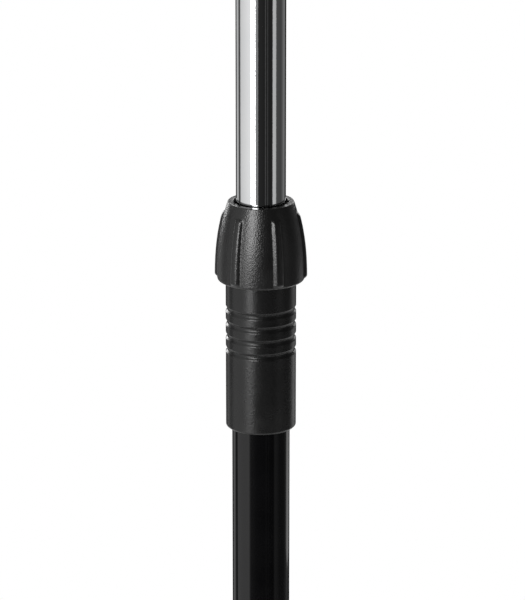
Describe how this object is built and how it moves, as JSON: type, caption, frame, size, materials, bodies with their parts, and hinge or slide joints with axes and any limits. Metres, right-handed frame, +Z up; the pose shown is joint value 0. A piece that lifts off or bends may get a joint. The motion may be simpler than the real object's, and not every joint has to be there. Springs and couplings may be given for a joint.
{
  "type": "music stand",
  "caption": "Orchestra music stand: perforated tilting steel desk, chrome and black telescopic column with a twist-collar clutch, and a tripod base with fold-up legs.",
  "frame": {"origin": "on the column's axis at floor level, in the middle of the centre foot's lower face", "axes": "+Z up along the column, -Y towards the reader, +X to the reader's right along the desk's tilt axis"},
  "size_m": [0.5328, 0.465, 1.2306],
  "materials": {
    "tube_chrome": "bright chrome plate on steel tube",
    "tube_paint": "gloss black powder coat on steel tube",
    "clutch_plastic": "fine spark-eroded black glass-filled nylon",
    "knob_plastic": "fine textured black nylon",
    "head_plastic": "fine textured black glass-filled nylon",
    "knuckle_plastic": "satin black nylon",
    "desk_paint": "satin fine-textured black powder coat",
    "cast_paint": "satin black paint on zinc die casting",
    "zinc_steel": "bright zinc plate",
    "rubber": "matte black rubber",
    "nylon": "natural nylon",
    "fibre": "dark grey friction fibre",
    "brass": "turned brass"
  },
  "bodies": {
    "base": {"centre_foot": "rubber", "base_hub": "cast_paint", "hub_grub_screws": "zinc_steel", "lower_tube": "tube_paint", "leg_bolts": "zinc_steel", "leg_lock_nuts": "zinc_steel", "leg_washers": "zinc_steel", "leg_friction_discs": "fibre", "clutch_sleeve": "clutch_plastic", "collet": "nylon"},
    "leg_left": {"leg_tube_left": "tube_paint", "leg_knuckle_left": "knuckle_plastic", "leg_foot_left": "rubber"},
    "leg_right": {"leg_tube_right": "tube_paint", "leg_knuckle_right": "knuckle_plastic", "leg_foot_right": "rubber"},
    "leg_rear": {"leg_tube_rear": "tube_paint", "leg_knuckle_rear": "knuckle_plastic", "leg_foot_rear": "rubber"},
    "clutch_ring": {"compression_ring": "nylon"},
    "collar": {"twist_collar": "clutch_plastic"},
    "glide": {"glide_ring": "nylon"},
    "mast": {"upper_tube": "tube_chrome", "glide_plug": "knuckle_plastic", "head_fitting": "head_plastic", "head_pin": "zinc_steel", "tilt_friction_discs": "fibre"},
    "desk": {"desk_bracket": "desk_paint", "desk_panel": "desk_paint", "desk_rivets": "desk_paint", "tilt_bolt": "zinc_steel", "spring_washer": "zinc_steel"},
    "knob": {"tilt_knob": "knob_plastic", "knob_insert": "brass"}
  },
  "joints": [
    {"name": "leg_left_fold", "type": "hinge", "parent": "base", "child": "leg_left", "pos_m": [-0.03291, -0.019, 0.042], "axis": [-0.5, 0.866, 0], "range_deg": [0, 95]},
    {"name": "leg_right_fold", "type": "hinge", "parent": "base", "child": "leg_right", "pos_m": [0.03291, -0.019, 0.042], "axis": [-0.5, -0.866, 0], "range_deg": [0, 95]},
    {"name": "leg_rear_fold", "type": "hinge", "parent": "base", "child": "leg_rear", "pos_m": [0, 0.038, 0.042], "axis": [1, 0, 0], "range_deg": [0, 95]},
    {"name": "clutch_draw", "type": "slide", "parent": "base", "child": "clutch_ring", "axis": [0, 0, 1], "range_m": [0, 0.00076]},
    {"name": "collar_twist", "type": "hinge", "parent": "clutch_ring", "child": "collar", "pos_m": [0, 0, 0.676], "axis": [0, 0, 1], "range_deg": [0, 90]},
    {"name": "height_slide", "type": "slide", "parent": "base", "child": "glide", "axis": [0, 0, 1], "range_m": [-0.27, 0.22]},
    {"name": "mast_swivel", "type": "hinge", "parent": "glide", "child": "mast", "pos_m": [0, 0, 0.37], "axis": [0, 0, 1], "continuous": true},
    {"name": "desk_tilt", "type": "hinge", "parent": "mast", "child": "desk", "pos_m": [0, 0, 1.045], "axis": [-1, 0, 0], "range_deg": [-22, 68]},
    {"name": "tilt_knob_turn", "type": "hinge", "parent": "desk", "child": "knob", "pos_m": [0.02, 0, 1.045], "axis": [1, 0, 0], "range_deg": [0, 180]}
  ],
  "couplings": [
    {"joint": "clutch_draw", "follows": "collar_twist", "m_per_rad": 0.00047746}
  ]
}
